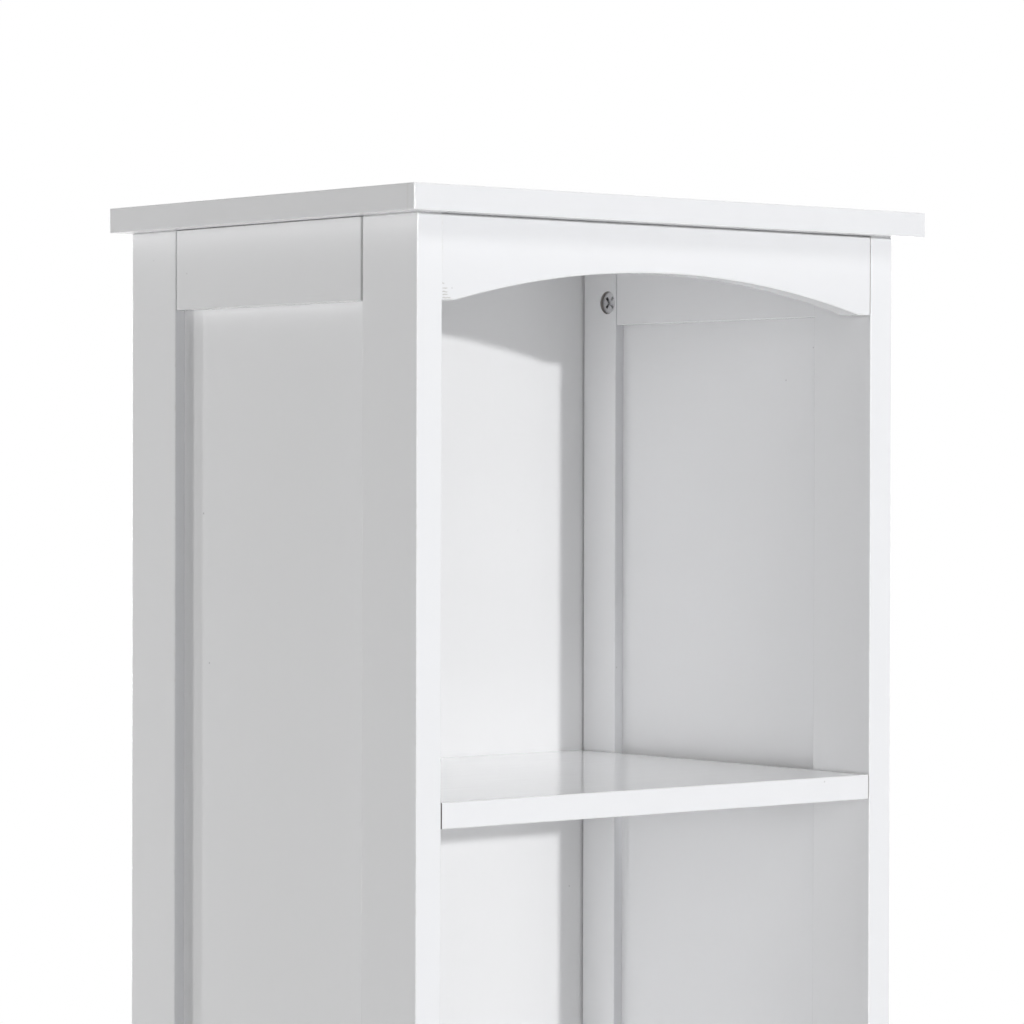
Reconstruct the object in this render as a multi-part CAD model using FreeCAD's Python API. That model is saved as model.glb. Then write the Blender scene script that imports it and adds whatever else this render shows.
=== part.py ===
import FreeCAD, Part
import math
import os

# Linen tower: a tall painted case with open bays above, a drawer, and a cupboard below.
# All sizes are in millimetres. +Z is up, -Y is the front, +X is the right-hand side.
# The origin is on the ground, in the middle of the whole object's footprint.

# Overall size and the top panel
TOTAL_HEIGHT = 1600.0
TOP_WIDTH = 400.0
TOP_DEPTH = 300.0
TOP_THICKNESS = 15.0
TOP_SIDE_OVERHANG = 14.0
TOP_FRONT_OVERHANG = 15.0
TOP_REAR_OVERHANG = 4.0

# Side frames: stiles that are also the legs, rails and a thin panel held in their grooves
FRONT_STILE_WIDTH = 50.0
LEFT_REAR_STILE_WIDTH = 46.0
RIGHT_REAR_STILE_WIDTH = 42.8
STILE_THICKNESS = 18.0
SIDE_RAIL_INNER_SETBACK = 0.8
SIDE_RAIL_END_EASE = 2.0
SIDE_TOP_RAIL_HEIGHT = 48.0
PANEL_THICKNESS = 4.0
PANEL_GROOVE_DEPTH = 5.0

# Levels of the fixed boards
UPPER_BAY_HEIGHT = 330.0
LOWER_BAY_HEIGHT = 330.0
DRAWER_OPENING_HEIGHT = 140.0
CABINET_FLOOR_HEIGHT = 105.0
BOARD_THICKNESS = 15.0
BOARD_FRONT_SETBACK = 0.3

# Arched rails at the head and the foot of the front
ARCHED_RAIL_THICKNESS = 15.0
VALANCE_HEIGHT = 48.0
APRON_HEIGHT = 48.0
ARCH_RISE = 20.0
ARCH_END_FLAT = 9.5
ARCH_BLEND_RADIUS = 15.0

# Back panel
BACK_PANEL_THICKNESS = 4.0
BACK_PANEL_INSET = 6.0
BACK_GROOVE_DEPTH = 6.0
BACK_GROOVE_FRONT_GAP = 1.5

# Clearances and eased edges
EDGE_EASE = 0.8
END_GAP = 0.5
VALANCE_LEFT_GAP = 0.05
BOARD_END_GAP = 0.8
HEAD_GAP = 0.35
REAR_GAP = 0.3
GROOVE_PLAY = 0.15
FASTENER_PLAY = 0.05
HOLE_END_PLAY = 0.5

# Cam locks and their bolts
CAM_DIAMETER = 15.0
CAM_PLAY = 0.15
CAM_DISTANCE = 33.0
CAM_RECESS = 1.9
CAM_PAST_BOLT = 4.5
CAM_CROSS_LENGTH = 9.6
CAM_CROSS_WIDTH = 2.2
CAM_CROSS_DEPTH = 1.5
BOLT_THREAD_DIAMETER = 6.0
BOLT_THREAD_LENGTH = 11.0
BOLT_SHANK_DIAMETER = 5.0
BOLT_HEAD_DIAMETER = 6.6
BOLT_HEAD_LENGTH = 4.0
BOLT_HEAD_PLAY = 0.3
BOLT_BORE_DIAMETER = 8.0
BOLT_FROM_INNER_EDGE = 10.0
TOP_BOLT_FROM_INNER_EDGE = 8.0
ARCHED_RAIL_BOLT_DROP = 18.0

# Dowels
DOWEL_DIAMETER = 8.0
DOWEL_LENGTH = 30.0
DOWEL_IN_STILE = 12.0
DOWEL_CHAMFER = 0.8
DOWEL_FROM_FRONT = 16.0
DOWEL_FROM_BACK_PANEL = 8.0
ARCHED_RAIL_DOWEL_RISE = 11.0

# Feet
GLIDE_DIAMETER = 16.0
GLIDE_HEIGHT = 4.0
GLIDE_CHAMFER = 1.0
GLIDE_NAIL_DIAMETER = 2.4
GLIDE_NAIL_LENGTH = 14.0

# Adjustable shelf in the cupboard
SHELF_PIN_DIAMETER = 5.0
SHELF_PIN_IN_STILE = 10.0
SHELF_PIN_REACH = 8.0
SHELF_PIN_COLLAR_DIAMETER = 7.2
SHELF_PIN_COLLAR_THICKNESS = 1.2
SHELF_PIN_ROWS = 3
SHELF_PIN_ROW_SPACING = 64.0
LOOSE_SHELF_END_PLAY = 0.3
LOOSE_SHELF_FRONT_SETBACK = 30.0
LOOSE_SHELF_REAR_GAP = 2.0

# Door and drawer front
FRONT_THICKNESS = 18.0
DOOR_FRAME_WIDTH = 50.0

# Butt hinges
HINGE_HEIGHT = 50.0
HINGE_FROM_DOOR_END = 90.0
HINGE_LEAF_THICKNESS = 1.0
HINGE_LEAF_GAP = 0.4
HINGE_LEAF_DEPTH = 16.0
HINGE_LEAF_FRONT_GAP = 0.3
HINGE_KNUCKLE_DIAMETER = 5.5
HINGE_KNUCKLE_GAP = 0.3
HINGE_STANDOFF = 0.15
HINGE_PIN_DIAMETER = 2.5
HINGE_PIN_HEAD_DIAMETER = 4.4
HINGE_PIN_HEAD_HEIGHT = 1.4
HINGE_PIN_PLAY = 0.05
HINGE_SCREW_SPACING = 30.0
HINGE_SCREW_DEPTH = 9.0

# Countersunk screws, in two sizes
SMALL_SCREW_HEAD = 4.6
SMALL_SCREW_SHANK = 2.6
SMALL_SCREW_LENGTH = 12.0
WOOD_SCREW_HEAD = 7.0
WOOD_SCREW_SHANK = 3.5
WOOD_SCREW_LENGTH = 18.0
SCREW_CROSS_SHARE = 0.6
SCREW_CROSS_WIDTH = 0.8
SCREW_CROSS_DEPTH = 0.7

# Magnetic catch and its strike plate
CATCH_WIDTH = 46.0
CATCH_DEPTH = 15.0
CATCH_HEIGHT = 12.0
CATCH_FROM_STILE = 8.0
CATCH_SCREW_INSET = 5.0
MAGNET_WIDTH = 24.0
MAGNET_DEPTH = 10.0
MAGNET_HEIGHT = 6.0
MAGNET_PROUD = 0.6
STRIKE_WIDTH = 34.0
STRIKE_HEIGHT = 11.0
STRIKE_THICKNESS = 1.2
STRIKE_GAP = 0.3

# Drawer box and its runners
BOX_SIDE_THICKNESS = 12.0
BOX_REAR_CLEARANCE = 28.0
BOX_LIFT = 10.0
BOX_DROP = 15.2
BOX_DADO_DEPTH = 6.0
BOX_BOTTOM_THICKNESS = 4.0
BOX_BOTTOM_RISE = 6.0
BOX_GROOVE_DEPTH = 5.0
BOX_SCREW_INSET = 22.0
RUNNER_THICKNESS = 8.0
RUNNER_HEIGHT = 14.0
RUNNER_PLAY = 0.3
RUNNER_FRONT_GAP = 2.0
RUNNER_REAR_GAP = 4.0
RUNNER_SIDE_PLAY = 0.6

# Knobs and their screws
KNOB_DIAMETER = 28.0
KNOB_PROJECTION = 25.0
KNOB_BASE_DIAMETER = 16.0
KNOB_BASE_THICKNESS = 2.0
KNOB_NECK_DIAMETER = 10.0
KNOB_NECK_LENGTH = 10.0
KNOB_UNDERSIDE_RISE = 2.5
KNOB_RIM_THICKNESS = 3.0
KNOB_EASE = 0.6
KNOB_FROM_DOOR_TOP = 110.0
KNOB_SCREW_DIAMETER = 4.0
KNOB_SCREW_HEAD_DIAMETER = 8.0
KNOB_SCREW_HEAD_HEIGHT = 2.4
KNOB_SCREW_IN_KNOB = 9.0

# Planes worked out from the driving dimensions
V = FreeCAD.Vector
X_AXIS = V(1, 0, 0)
Y_AXIS = V(0, 1, 0)
Z_AXIS = V(0, 0, 1)
DOWN = Z_AXIS * -1
FORWARD = Y_AXIS * -1
SIDES = (("left", -1), ("right", 1))

CASE_WIDTH = TOP_WIDTH - 2 * TOP_SIDE_OVERHANG
CASE_DEPTH = TOP_DEPTH - TOP_FRONT_OVERHANG - TOP_REAR_OVERHANG
FRONT_REACH = max(TOP_FRONT_OVERHANG, KNOB_PROJECTION)
FRONT = FRONT_REACH - (FRONT_REACH + CASE_DEPTH + TOP_REAR_OVERHANG) / 2
REAR = FRONT + CASE_DEPTH
OPENING = CASE_WIDTH / 2 - STILE_THICKNESS
CASE_TOP = TOTAL_HEIGHT - TOP_THICKNESS

FRONT_STILE_EDGE = FRONT + FRONT_STILE_WIDTH
REAR_STILE_EDGES = {"left": REAR - LEFT_REAR_STILE_WIDTH, "right": REAR - RIGHT_REAR_STILE_WIDTH}
BACK_FACE = REAR - BACK_PANEL_INSET - BACK_PANEL_THICKNESS
BOARD_FRONT = FRONT + BOARD_FRONT_SETBACK
BOARD_REAR = BACK_FACE - REAR_GAP

SHELF_TOP = CASE_TOP - UPPER_BAY_HEIGHT
DECK_TOP = SHELF_TOP - BOARD_THICKNESS - LOWER_BAY_HEIGHT
DIVIDER_TOP = DECK_TOP - BOARD_THICKNESS - DRAWER_OPENING_HEIGHT
FLOOR_TOP = CABINET_FLOOR_HEIGHT
APRON_TOP = FLOOR_TOP - BOARD_THICKNESS
APRON_BOTTOM = APRON_TOP - APRON_HEIGHT
BOARD_TOPS = {
    "upper_shelf": SHELF_TOP,
    "cabinet_deck": DECK_TOP,
    "drawer_divider": DIVIDER_TOP,
    "cabinet_floor": FLOOR_TOP,
}

STILE_DOWELS = (("front", FRONT + DOWEL_FROM_FRONT), ("rear", BACK_FACE - DOWEL_FROM_BACK_PANEL))

# The stile that the valance is pushed up to: its corner there is left square, so that the joint is closed
CLOSED_JOINT_STILE = ("left", "front")

FRONT_GAP = 2 * HINGE_LEAF_THICKNESS + HINGE_LEAF_GAP
DOOR_BOTTOM = FLOOR_TOP + FRONT_GAP
DOOR_TOP = DIVIDER_TOP - BOARD_THICKNESS - FRONT_GAP
DOOR_HALF = OPENING - FRONT_GAP
FRONT_BACK = FRONT + FRONT_THICKNESS
HINGE_X = OPENING - FRONT_GAP / 2
HINGE_Y = FRONT - HINGE_KNUCKLE_DIAMETER / 2 - HINGE_STANDOFF
HINGE_LEVELS = (("upper", DOOR_TOP - HINGE_FROM_DOOR_END), ("lower", DOOR_BOTTOM + HINGE_FROM_DOOR_END))

DRAWER_BOTTOM = DIVIDER_TOP + FRONT_GAP
DRAWER_TOP = DECK_TOP - BOARD_THICKNESS - FRONT_GAP
BOX_BOTTOM = DRAWER_BOTTOM + BOX_LIFT
BOX_TOP = DRAWER_TOP - BOX_DROP
BOX_REAR = BACK_FACE - BOX_REAR_CLEARANCE
BOX_OUTER = OPENING - FRONT_GAP
BOX_INNER = BOX_OUTER - BOX_SIDE_THICKNESS
BOX_PANEL_TOP = BOX_BOTTOM + BOX_BOTTOM_RISE + BOX_BOTTOM_THICKNESS
RUNNER_LEVEL = (BOX_BOTTOM + BOX_TOP) / 2

nodes = {}
cutters = {}


def add(name, *solids):
    """Put finished or still uncut solids into a node."""
    nodes.setdefault(name, []).extend(solids)


def cut(name, *tools):
    """Remember what is drilled or grooved out of a node."""
    cutters.setdefault(name, []).extend(tools)


# Basic shapes


def box(x0, x1, y0, y1, z0, z1):
    """A box between two corners, given in either order along x."""
    low, high = min(x0, x1), max(x0, x1)
    return Part.makeBox(high - low, y1 - y0, z1 - z0, V(low, y0, z0))


def board(x0, x1, y0, y1, z0, z1):
    """A painted board with every edge eased."""
    solid = box(x0, x1, y0, y1, z0, z1)
    return solid.makeFillet(EDGE_EASE, solid.Edges)


def rod(start, direction, diameter, length):
    """A round bar from a point along a direction."""
    return Part.makeCylinder(diameter / 2, length, start, direction)


def turned(start, direction, profile):
    """A turned solid: profile lists (distance along the axis, radius) between its two ends."""
    corners = [(profile[0][0], 0.0)] + list(profile) + [(profile[-1][0], 0.0)]
    points = [V(radius, 0, along) for along, radius in corners]
    face = Part.Face(Part.makePolygon(points + points[:1]))
    solid = face.revolve(V(0, 0, 0), Z_AXIS, 360)
    solid.Placement = FreeCAD.Placement(start, FreeCAD.Rotation(Z_AXIS, direction))
    return solid


def cross_slot(centre, outward, length, width, depth):
    """The crossed driver slot in the head of a fastener, set at 45 degrees."""
    bar = box(-length / 2, length / 2, -width / 2, width / 2, -depth, depth)
    other = bar.copy()
    other.rotate(V(0, 0, 0), Z_AXIS, 90)
    cross = bar.fuse(other)
    cross.rotate(V(0, 0, 0), Z_AXIS, 45)
    turn = FreeCAD.Placement(centre, FreeCAD.Rotation(Z_AXIS, outward))
    cross.Placement = turn.multiply(cross.Placement)
    return cross


def side_x(sign, inward):
    """The x of a plane that lies inward from a side's outer face."""
    return sign * (CASE_WIDTH / 2 - inward)


def stile_rows(side, from_edge):
    """The y of a row of holes in each stile of one side, at a distance from the stile's inner edge."""
    return (("front", FRONT_STILE_EDGE - from_edge), ("rear", REAR_STILE_EDGES[side] + from_edge))


# Fasteners, each with the holes that it needs


def cam_joint(seat, into, face, half, holders, partner, lock_node, bolt_node):
    """A cam lock in the boards that hold it and its bolt, which is screwed into the partner.

    seat lies where the boards meet, on the bolt's axis, and into points from there towards the cam.
    face points out of the side that shows the cam, which is half away from the bolt's axis.
    """
    centre = seat + into * CAM_DISTANCE
    bottom = centre - face * CAM_PAST_BOLT
    shown = centre + face * (half - CAM_RECESS)
    head_end = CAM_DISTANCE + BOLT_HEAD_LENGTH / 2
    pocket = BOLT_HEAD_DIAMETER + 2 * BOLT_HEAD_PLAY

    cam = rod(bottom, face, CAM_DIAMETER - 2 * CAM_PLAY, half + CAM_PAST_BOLT - CAM_RECESS)
    entry = rod(seat + into * (head_end + BOLT_HEAD_PLAY), into * -1, pocket, CAM_DIAMETER)
    slot = cross_slot(shown, face, CAM_CROSS_LENGTH, CAM_CROSS_WIDTH, CAM_CROSS_DEPTH)
    add(lock_node, cam.cut([entry, slot]))

    add(bolt_node, turned(seat, into, (
        (-BOLT_THREAD_LENGTH, BOLT_THREAD_DIAMETER / 2),
        (0.0, BOLT_THREAD_DIAMETER / 2),
        (0.0, BOLT_SHANK_DIAMETER / 2),
        (head_end - BOLT_HEAD_LENGTH, BOLT_SHANK_DIAMETER / 2),
        (head_end - BOLT_HEAD_LENGTH, BOLT_HEAD_DIAMETER / 2),
        (head_end, BOLT_HEAD_DIAMETER / 2),
    )))

    for holder in holders:
        cut(holder, rod(bottom, face, CAM_DIAMETER, half + CAM_PAST_BOLT + CAM_RECESS))
        cut(holder, rod(seat - into * END_GAP, into, BOLT_BORE_DIAMETER, CAM_DISTANCE + END_GAP))
    threaded = BOLT_THREAD_DIAMETER + 2 * FASTENER_PLAY
    thread_hole = END_GAP + BOLT_THREAD_LENGTH + HOLE_END_PLAY
    cut(partner, rod(seat + into * END_GAP, into * -1, threaded, thread_hole))


def dowel_joint(seat, into, holder, partner):
    """A wooden dowel across the meeting plane at seat, with its holes in both boards."""
    start = seat - into * DOWEL_IN_STILE
    radius = DOWEL_DIAMETER / 2
    add("wood_dowels", turned(start, into, (
        (0.0, radius - DOWEL_CHAMFER),
        (DOWEL_CHAMFER, radius),
        (DOWEL_LENGTH - DOWEL_CHAMFER, radius),
        (DOWEL_LENGTH, radius - DOWEL_CHAMFER),
    )))
    hole = rod(start - into * HOLE_END_PLAY, into, DOWEL_DIAMETER + 2 * FASTENER_PLAY,
               DOWEL_LENGTH + 2 * HOLE_END_PLAY)
    cut(holder, hole)
    cut(partner, hole)


def countersunk_screw(node, seat, direction, head, shank, length, *held):
    """A screw whose head is flush at seat, driven along direction through the held pieces."""
    cone = (head - shank) / 2
    profile = ((0.0, head / 2), (cone, shank / 2), (length, shank / 2))
    slot = cross_slot(seat, direction * -1, head * SCREW_CROSS_SHARE, SCREW_CROSS_WIDTH, SCREW_CROSS_DEPTH)
    add(node, turned(seat, direction, profile).cut(slot))
    play = FASTENER_PLAY
    hole = turned(seat, direction, (
        (-END_GAP, head / 2 + play),
        (0.0, head / 2 + play),
        (cone, shank / 2 + play),
        (length + HOLE_END_PLAY, shank / 2 + play),
    ))
    for name in held:
        cut(name, hole)


# Case


def make_top():
    """The overhanging top panel."""
    half = TOP_WIDTH / 2
    front = FRONT - TOP_FRONT_OVERHANG
    add("top_panel", board(-half, half, front, REAR + TOP_REAR_OVERHANG, CASE_TOP, TOTAL_HEIGHT))


def panel_span(sign, margin):
    """The x range of a side panel's thickness, widened by a margin on both faces."""
    middle = STILE_THICKNESS / 2
    half = PANEL_THICKNESS / 2 + margin
    return side_x(sign, middle - half), side_x(sign, middle + half)


def side_stile(side, sign, place, y0, y1, groove_y0):
    """One upright of a side frame, which is also a leg, with its panel groove."""
    name = side + "_" + place + "_stile"
    outer, inner = side_x(sign, 0), side_x(sign, STILE_THICKNESS)
    body = board(outer, inner, y0, y1, GLIDE_HEIGHT, CASE_TOP)
    if (side, place) == CLOSED_JOINT_STILE:
        corner = box(inner, inner + sign * EDGE_EASE, FRONT, FRONT + EDGE_EASE,
                     CASE_TOP - HEAD_GAP - VALANCE_HEIGHT, CASE_TOP - EDGE_EASE)
        body = body.fuse(corner).removeSplitter()
    add(name, body)
    x0, x1 = panel_span(sign, GROOVE_PLAY)
    cut(name, box(x0, x1, groove_y0, groove_y0 + PANEL_GROOVE_DEPTH, APRON_BOTTOM, CASE_TOP))


def upright_edges(solid, x):
    """The upright edges of a solid that lie in the plane at x."""
    return [edge for edge in solid.Edges if edge.BoundBox.ZLength > EDGE_EASE
            and abs(edge.BoundBox.XMin - x) + abs(edge.BoundBox.XMax - x) < EDGE_EASE]


def side_rail(side, sign, place, z0, z1, groove_z0):
    """One cross rail of a side frame, with a tongue at each end and a groove for the panel.

    Its edges beside the panel and at its ends are eased, and its far edge is left square.
    """
    name = side + "_" + place + "_rail"
    outer = side_x(sign, 0)
    inner = side_x(sign, STILE_THICKNESS - SIDE_RAIL_INNER_SETBACK)
    rear_edge = REAR_STILE_EDGES[side]
    body = box(outer, inner, FRONT_STILE_EDGE, rear_edge, z0, z1)
    body = body.makeFillet(SIDE_RAIL_END_EASE, upright_edges(body, outer))
    panel_edge = z0 if groove_z0 == z0 else z1
    rims = [edge for edge in body.Edges if edge.BoundBox.ZLength < EDGE_EASE
            and abs(edge.BoundBox.Center.z - panel_edge) < EDGE_EASE]
    body = body.makeFillet(EDGE_EASE, rims + upright_edges(body, inner))
    x0, x1 = panel_span(sign, 0)
    reach = PANEL_GROOVE_DEPTH - GROOVE_PLAY
    tongue = box(x0, x1, FRONT_STILE_EDGE - reach, rear_edge + reach, z0 + EDGE_EASE, z1 - EDGE_EASE)
    add(name, body.fuse(tongue))
    groove_x0, groove_x1 = panel_span(sign, GROOVE_PLAY)
    cut(name, box(groove_x0, groove_x1, FRONT, REAR, groove_z0, groove_z0 + PANEL_GROOVE_DEPTH))


def make_side(side, sign):
    """One side of the case: two stiles, two rails and the panel between them."""
    side_stile(side, sign, "front", FRONT, FRONT_STILE_EDGE, FRONT_STILE_EDGE - PANEL_GROOVE_DEPTH)
    rear_edge = REAR_STILE_EDGES[side]
    side_stile(side, sign, "rear", rear_edge, REAR, rear_edge)
    top_rail_bottom = CASE_TOP - SIDE_TOP_RAIL_HEIGHT
    side_rail(side, sign, "top", top_rail_bottom, CASE_TOP - HEAD_GAP, top_rail_bottom)
    side_rail(side, sign, "bottom", APRON_BOTTOM, FLOOR_TOP, FLOOR_TOP - PANEL_GROOVE_DEPTH)

    reach = PANEL_GROOVE_DEPTH - GROOVE_PLAY
    x0, x1 = panel_span(sign, 0)
    add(side + "_side_panel", box(x0, x1, FRONT_STILE_EDGE - reach, rear_edge + reach,
                                  FLOOR_TOP - reach, top_rail_bottom + reach))

    groove_x0 = side_x(sign, STILE_THICKNESS - BACK_GROOVE_DEPTH)
    groove_x1 = side_x(sign, STILE_THICKNESS + END_GAP)
    cut(side + "_rear_stile", box(groove_x0, groove_x1, BACK_FACE - BACK_GROOVE_FRONT_GAP,
                                  REAR - BACK_PANEL_INSET + GROOVE_PLAY, APRON_TOP - GROOVE_PLAY, CASE_TOP))

    for place, y in stile_rows(side, TOP_BOLT_FROM_INNER_EDGE):
        seat = V(side_x(sign, STILE_THICKNESS / 2), y, CASE_TOP)
        holders = (side + "_" + place + "_stile", side + "_top_rail", side + "_side_panel")
        cam_joint(seat, DOWN, X_AXIS * -sign, STILE_THICKNESS / 2, holders, "top_panel",
                  "top_cam_locks", "top_cam_bolts")


def make_back_panel():
    """The thin back, which stands in grooves of the rear stiles behind every board."""
    half = OPENING + BACK_GROOVE_DEPTH - GROOVE_PLAY
    add("back_panel", box(-half, half, BACK_FACE, REAR - BACK_PANEL_INSET, APRON_TOP, CASE_TOP - HEAD_GAP))


def make_fixed_board(name, top):
    """A board between the sides, held at its four corners by cam locks and dowels.

    Its long edges are eased and its ends are cut square.
    """
    half = OPENING - BOARD_END_GAP
    body = box(-half, half, BOARD_FRONT, BOARD_REAR, top - BOARD_THICKNESS, top)
    long_edges = [edge for edge in body.Edges if edge.BoundBox.XLength > half]
    add(name, body.makeFillet(EDGE_EASE, long_edges))
    level = top - BOARD_THICKNESS / 2
    for side, sign in SIDES:
        inward = X_AXIS * -sign
        for place, y in stile_rows(side, BOLT_FROM_INNER_EDGE):
            cam_joint(V(sign * OPENING, y, level), inward, DOWN, BOARD_THICKNESS / 2, (name,),
                      side + "_" + place + "_stile", "board_cam_locks", "board_cam_bolts")
        for place, y in STILE_DOWELS:
            dowel_joint(V(sign * OPENING, y, level), inward, name, side + "_" + place + "_stile")


def make_arched_rail(name, top, height, left_gap):
    """A front rail whose lower edge is a shallow arch between two short flats.

    Its upper and lower edges are eased and its ends are cut square.
    """
    half = OPENING - END_GAP
    foot = half - ARCH_END_FLAT
    bottom = top - height
    crown = V(0, FRONT, bottom + ARCH_RISE)
    left, right = V(-foot, FRONT, bottom), V(foot, FRONT, bottom)
    corners = [right, V(half, FRONT, bottom), V(half, FRONT, top),
               V(-half, FRONT, top), V(-half, FRONT, bottom), left]
    edges = [Part.Arc(left, crown, right).toShape()]
    edges += [Part.makeLine(a, b) for a, b in zip(corners, corners[1:])]
    solid = Part.Face(Part.Wire(edges)).extrude(Y_AXIS * ARCHED_RAIL_THICKNESS)
    blends = [edge for edge in solid.Edges if is_arch_foot(edge, foot, bottom)]
    solid = solid.makeFillet(ARCH_BLEND_RADIUS, blends)
    outline = [edge for edge in solid.Edges if edge.BoundBox.YLength < EDGE_EASE
               and abs(edge.BoundBox.Center.x) < half - EDGE_EASE]
    solid = solid.makeFillet(EDGE_EASE, outline)
    add(name, solid.translated(V(left_gap - END_GAP, 0, 0)))

    middle = FRONT + ARCHED_RAIL_THICKNESS / 2
    for side, sign in SIDES:
        stile = side + "_front_stile"
        inward = X_AXIS * -sign
        bolt_seat = V(sign * OPENING, middle, top - ARCHED_RAIL_BOLT_DROP)
        cam_joint(bolt_seat, inward, Y_AXIS, ARCHED_RAIL_THICKNESS / 2, (name,), stile,
                  "board_cam_locks", "board_cam_bolts")
        dowel_joint(V(sign * OPENING, middle, bottom + ARCHED_RAIL_DOWEL_RISE), inward, name, stile)


def is_arch_foot(edge, foot, bottom):
    """True for the two edges where an arch meets its flats."""
    bounds = edge.BoundBox
    along_depth = bounds.YLength > ARCHED_RAIL_THICKNESS / 2
    at_foot = abs(abs(bounds.Center.x) - foot) < EDGE_EASE
    return along_depth and at_foot and abs(bounds.Center.z - bottom) < EDGE_EASE


def make_feet():
    """A plastic glide nailed under each stile."""
    radius = GLIDE_DIAMETER / 2
    for side, sign in SIDES:
        middles = {"front": (FRONT + FRONT_STILE_EDGE) / 2, "rear": (REAR + REAR_STILE_EDGES[side]) / 2}
        for place, y in middles.items():
            start = V(side_x(sign, STILE_THICKNESS / 2), y, 0)
            add("foot_glides", turned(start, Z_AXIS, (
                (0.0, radius - GLIDE_CHAMFER),
                (GLIDE_CHAMFER, radius),
                (GLIDE_HEIGHT, radius),
                (GLIDE_HEIGHT, GLIDE_NAIL_DIAMETER / 2),
                (GLIDE_HEIGHT + GLIDE_NAIL_LENGTH, GLIDE_NAIL_DIAMETER / 2),
            )))
            cut(side + "_" + place + "_stile", rod(start, Z_AXIS, GLIDE_NAIL_DIAMETER + 2 * FASTENER_PLAY,
                                                   GLIDE_HEIGHT + GLIDE_NAIL_LENGTH + HOLE_END_PLAY))


def make_adjustable_shelf():
    """A loose shelf in the cupboard on four pins, with spare rows of pin holes."""
    middle = (FLOOR_TOP + DIVIDER_TOP - BOARD_THICKNESS) / 2
    hole_diameter = SHELF_PIN_DIAMETER + 2 * FASTENER_PLAY
    hole_depth = END_GAP + SHELF_PIN_IN_STILE + HOLE_END_PLAY
    collar_end = SHELF_PIN_COLLAR_THICKNESS
    for side, sign in SIDES:
        inward = X_AXIS * -sign
        for place, y in stile_rows(side, BOLT_FROM_INNER_EDGE):
            wall = V(sign * OPENING, y, middle)
            add("shelf_pins", turned(wall, inward, (
                (-SHELF_PIN_IN_STILE, SHELF_PIN_DIAMETER / 2),
                (0.0, SHELF_PIN_DIAMETER / 2),
                (0.0, SHELF_PIN_COLLAR_DIAMETER / 2),
                (collar_end, SHELF_PIN_COLLAR_DIAMETER / 2),
                (collar_end, SHELF_PIN_DIAMETER / 2),
                (SHELF_PIN_REACH, SHELF_PIN_DIAMETER / 2),
            )))
            for row in range(SHELF_PIN_ROWS):
                rise = (row - (SHELF_PIN_ROWS - 1) / 2) * SHELF_PIN_ROW_SPACING
                start = wall + inward * END_GAP + Z_AXIS * rise
                cut(side + "_" + place + "_stile", rod(start, inward * -1, hole_diameter, hole_depth))
    half = OPENING - SHELF_PIN_COLLAR_THICKNESS - LOOSE_SHELF_END_PLAY
    front, rear = FRONT + LOOSE_SHELF_FRONT_SETBACK, BACK_FACE - LOOSE_SHELF_REAR_GAP
    bottom = middle + SHELF_PIN_DIAMETER / 2
    add("adjustable_shelf", board(-half, half, front, rear, bottom, bottom + BOARD_THICKNESS))


# Door with its hinges and catch


def door_panel_y(margin):
    """The y range of the door panel's thickness, widened by a margin on both faces."""
    middle = FRONT + FRONT_THICKNESS / 2
    half = PANEL_THICKNESS / 2 + margin
    return middle - half, middle + half


def make_door():
    """A frame of two stiles and two rails round a thin panel, set into the case."""
    inner = DOOR_HALF - DOOR_FRAME_WIDTH
    groove_y0, groove_y1 = door_panel_y(GROOVE_PLAY)
    y0, y1 = door_panel_y(0)
    reach = PANEL_GROOVE_DEPTH - GROOVE_PLAY
    for name, sign in (("door_latch_stile", -1), ("door_hinge_stile", 1)):
        add(name, board(sign * inner, sign * DOOR_HALF, FRONT, FRONT_BACK, DOOR_BOTTOM, DOOR_TOP))
        cut(name, box(sign * inner, sign * (inner + PANEL_GROOVE_DEPTH), groove_y0, groove_y1,
                      DOOR_BOTTOM, DOOR_TOP))
    low, high = DOOR_BOTTOM + DOOR_FRAME_WIDTH, DOOR_TOP - DOOR_FRAME_WIDTH
    rails = (("door_top_rail", high, DOOR_TOP, high),
             ("door_bottom_rail", DOOR_BOTTOM, low, low - PANEL_GROOVE_DEPTH))
    for name, z0, z1, groove_z0 in rails:
        body = board(-inner, inner, FRONT, FRONT_BACK, z0, z1)
        tongue = box(-inner - reach, inner + reach, y0, y1, z0 + EDGE_EASE, z1 - EDGE_EASE)
        add(name, body.fuse(tongue))
        cut(name, box(-DOOR_HALF, DOOR_HALF, groove_y0, groove_y1,
                      groove_z0, groove_z0 + PANEL_GROOVE_DEPTH))
    add("door_panel", box(-inner - reach, inner + reach, y0, y1, low - reach, high + reach))


def hinge_leaf(flat_x0, flat_x1, level, knuckles, bore):
    """A flat leaf with its rolled knuckles: knuckles lists (bottom, top) above the leaf's lower end."""
    bottom = level - HINGE_HEIGHT / 2
    plate_front = FRONT + HINGE_LEAF_FRONT_GAP
    leaf = box(flat_x0, flat_x1, plate_front, FRONT + HINGE_LEAF_DEPTH, bottom, bottom + HINGE_HEIGHT)
    for low, high in knuckles:
        strap = box(flat_x0, flat_x1, HINGE_Y, plate_front, bottom + low, bottom + high)
        roll = rod(V(HINGE_X, HINGE_Y, bottom + low), Z_AXIS, HINGE_KNUCKLE_DIAMETER, high - low)
        leaf = leaf.fuse([strap, roll])
    return leaf.removeSplitter().cut(rod(V(HINGE_X, HINGE_Y, bottom), Z_AXIS, bore, HINGE_HEIGHT))


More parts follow.
